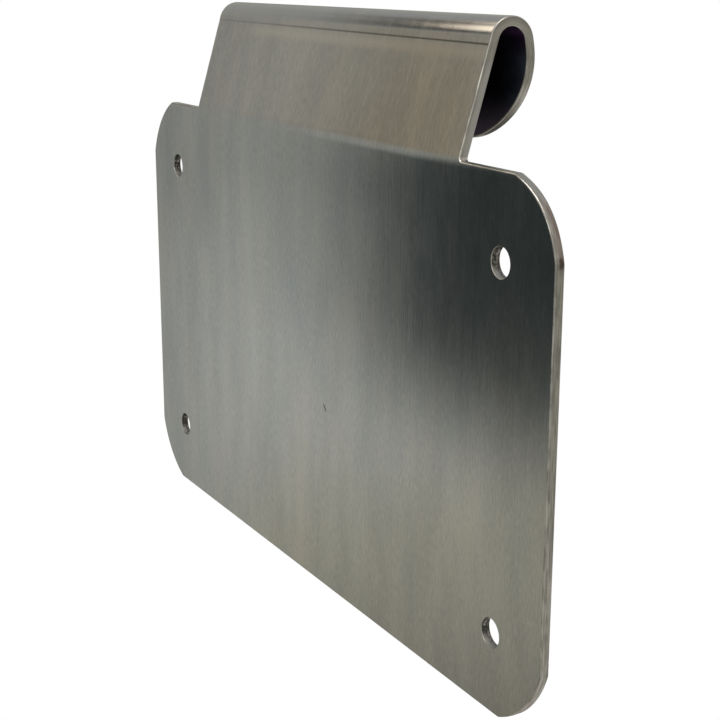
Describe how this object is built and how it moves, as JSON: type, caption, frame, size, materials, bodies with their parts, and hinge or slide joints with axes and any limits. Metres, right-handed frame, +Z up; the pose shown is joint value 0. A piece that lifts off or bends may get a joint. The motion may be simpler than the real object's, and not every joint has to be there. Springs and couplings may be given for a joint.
{
  "type": "number plate bracket",
  "caption": "Folded stainless sheet bracket for a motorcycle number plate: a flat plate with bolt holes near its corners and a leaning tab along its top edge, rolled over into an open hook.",
  "frame": {"origin": "centre of the plate's front face, midway between the bolt holes", "axes": "+X across the plate, +Y from the plate's front face to its back, +Z up towards the hook"},
  "size_m": [0.1778, 0.0164, 0.1269],
  "materials": {
    "brushed_stainless": "brushed with an upright grain, deburred edges"
  },
  "bodies": {
    "root": {"plate_bracket": "brushed_stainless"}
  },
  "joints": []
}
